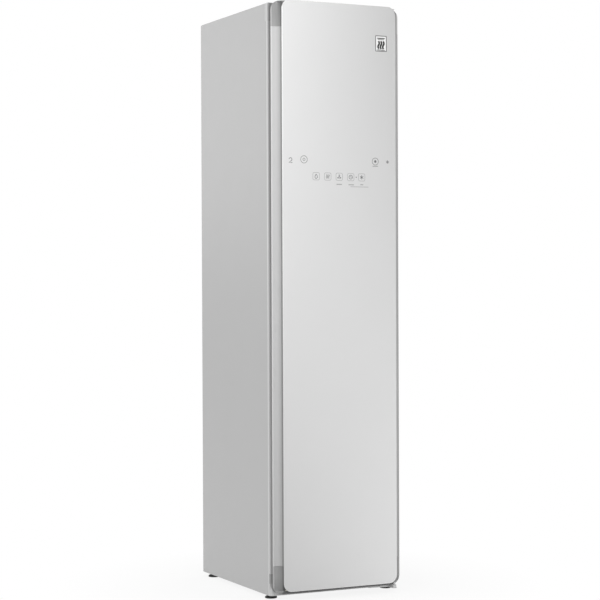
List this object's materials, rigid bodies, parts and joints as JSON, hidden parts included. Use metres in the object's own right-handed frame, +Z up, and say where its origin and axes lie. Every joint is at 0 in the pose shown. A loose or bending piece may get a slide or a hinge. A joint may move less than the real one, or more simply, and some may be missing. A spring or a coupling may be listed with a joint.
{
  "type": "clothes care steam cabinet",
  "caption": "Slim tall steam closet with a flat glass door, grip grooves, moving hanger bar, water tanks and steam machinery behind.",
  "frame": {"origin": "middle of the cabinet's footprint, on the floor", "axes": "+Z up, the door faces -Y, +X to the right as seen from the front"},
  "size_m": [0.445, 0.585, 1.85],
  "materials": {
    "case_paint": "satin",
    "trim_silver": "satin",
    "bare_steel": "satin",
    "glass_face": "gloss",
    "rail_silver": "satin",
    "foam": "matte",
    "liner_plastic": "satin",
    "seal_rubber": "matte",
    "foot_rubber": "matte",
    "board_green": "satin",
    "dark_plastic": "satin",
    "lamp_white": "gloss",
    "filter_grey": "satin",
    "tank_clear": "gloss",
    "coil_aluminium": "satin",
    "blower_grey": "satin",
    "compressor_black": "satin",
    "boiler_steel": "satin",
    "hose_red": "matte"
  },
  "bodies": {
    "cabinet": {"side_panel_left": "case_paint", "side_panel_right": "case_paint", "top_panel": "case_paint", "top_trim": "trim_silver", "kick_trim": "trim_silver", "base_tray": "bare_steel", "rear_panel": "bare_steel", "rear_service_cover": "bare_steel", "coil_tray": "bare_steel", "drive_plate": "bare_steel", "hinge_upper": "bare_steel", "hinge_lower": "bare_steel", "hanger_motor": "bare_steel", "fan_motor": "bare_steel", "liner_left": "liner_plastic", "liner_right": "liner_plastic", "liner_rear": "liner_plastic", "liner_ceiling": "liner_plastic", "liner_floor": "liner_plastic", "tank_bay": "liner_plastic", "drive_belt": "seal_rubber", "mains_inlet": "dark_plastic", "steam_nozzle": "dark_plastic", "control_box": "dark_plastic", "water_pump": "dark_plastic", "lamp_lens": "lamp_white", "evaporator": "coil_aluminium", "condenser": "coil_aluminium", "blower_housing": "blower_grey", "compressor": "compressor_black", "steam_generator": "boiler_steel", "steam_pipe": "hose_red"},
    "door": {"door_glass": "glass_face", "grip_rail_left": "rail_silver", "grip_rail_right": "rail_silver", "door_cap_top": "rail_silver", "door_cap_bottom": "rail_silver", "door_core": "foam", "door_inner_panel": "liner_plastic", "door_seal": "seal_rubber", "touch_board": "board_green"},
    "press_board": {"press_flap": "liner_plastic"},
    "press_button": {"press_release_button": "trim_silver"},
    "hanger": {"hanger_carriage": "liner_plastic", "hanger_bar": "liner_plastic"},
    "crank": {"crank_arm": "bare_steel", "crank_pulley": "dark_plastic"},
    "motor_rotor": {"motor_pulley": "dark_plastic"},
    "fan": {"fan_wheel": "blower_grey"},
    "supply": {"supply_tank": "tank_clear", "supply_tank_lid": "dark_plastic"},
    "drain": {"drain_tank": "tank_clear", "drain_tank_lid": "dark_plastic"},
    "filter": {"lint_filter": "filter_grey"},
    "aroma": {"aroma_case": "filter_grey"},
    "shelf": {"garment_shelf": "liner_plastic"},
    "levelling_front_left": {"foot_front_left": "foot_rubber"},
    "levelling_front_right": {"foot_front_right": "foot_rubber"},
    "levelling_rear_left": {"foot_rear_left": "foot_rubber"},
    "levelling_rear_right": {"foot_rear_right": "foot_rubber"}
  },
  "joints": [
    {"name": "door_swing", "type": "hinge", "parent": "cabinet", "child": "door", "pos_m": [0.201, -0.2675, 0.93], "axis": [0, 0, 1], "range_deg": [0, 105]},
    {"name": "press_swing", "type": "hinge", "parent": "door", "child": "press_board", "pos_m": [0.1328, -0.218, 0.95], "axis": [0, 0, -1], "range_deg": [0, 75]},
    {"name": "press_button_push", "type": "slide", "parent": "press_board", "child": "press_button", "axis": [0, -1, 0], "range_m": [0, 0.0027], "stiffness_N_per_m": 200},
    {"name": "hanger_slide", "type": "slide", "parent": "cabinet", "child": "hanger", "axis": [1, 0, 0], "range_m": [-0.012, 0.012]},
    {"name": "crank_turn", "type": "hinge", "parent": "cabinet", "child": "crank", "pos_m": [0, 0, 1.76], "axis": [0, 0, 1], "range_deg": [-90, 90]},
    {"name": "motor_turn", "type": "hinge", "parent": "cabinet", "child": "motor_rotor", "pos_m": [-0.13, 0, 1.77], "axis": [0, 0, 1], "range_deg": [-270, 270]},
    {"name": "fan_spin", "type": "hinge", "parent": "cabinet", "child": "fan", "pos_m": [0, 0.2438, 0.345], "axis": [0, 1, 0], "continuous": true},
    {"name": "supply_tank_pull", "type": "slide", "parent": "cabinet", "child": "supply", "axis": [0, -1, 0], "range_m": [0, 0.03]},
    {"name": "drain_tank_pull", "type": "slide", "parent": "cabinet", "child": "drain", "axis": [0, -1, 0], "range_m": [0, 0.03]},
    {"name": "lint_filter_lift", "type": "slide", "parent": "cabinet", "child": "filter", "axis": [0, 0, 1], "range_m": [0, 0.085]},
    {"name": "aroma_case_lift", "type": "slide", "parent": "cabinet", "child": "aroma", "axis": [0, 0, 1], "range_m": [0, 0.085]},
    {"name": "shelf_lift", "type": "slide", "parent": "cabinet", "child": "shelf", "axis": [0, 0, 1], "range_m": [0, 0.05]},
    {"name": "foot_front_left_screw", "type": "slide", "parent": "cabinet", "child": "levelling_front_left", "axis": [0, 0, 1], "range_m": [-0.015, 0]},
    {"name": "foot_front_right_screw", "type": "slide", "parent": "cabinet", "child": "levelling_front_right", "axis": [0, 0, 1], "range_m": [-0.015, 0]},
    {"name": "foot_rear_left_screw", "type": "slide", "parent": "cabinet", "child": "levelling_rear_left", "axis": [0, 0, 1], "range_m": [-0.015, 0]},
    {"name": "foot_rear_right_screw", "type": "slide", "parent": "cabinet", "child": "levelling_rear_right", "axis": [0, 0, 1], "range_m": [-0.015, 0]}
  ],
  "couplings": [
    {"joint": "crank_turn", "follows": "hanger_slide", "rad_per_m": 130.9},
    {"joint": "motor_turn", "follows": "hanger_slide", "rad_per_m": 392.7}
  ]
}
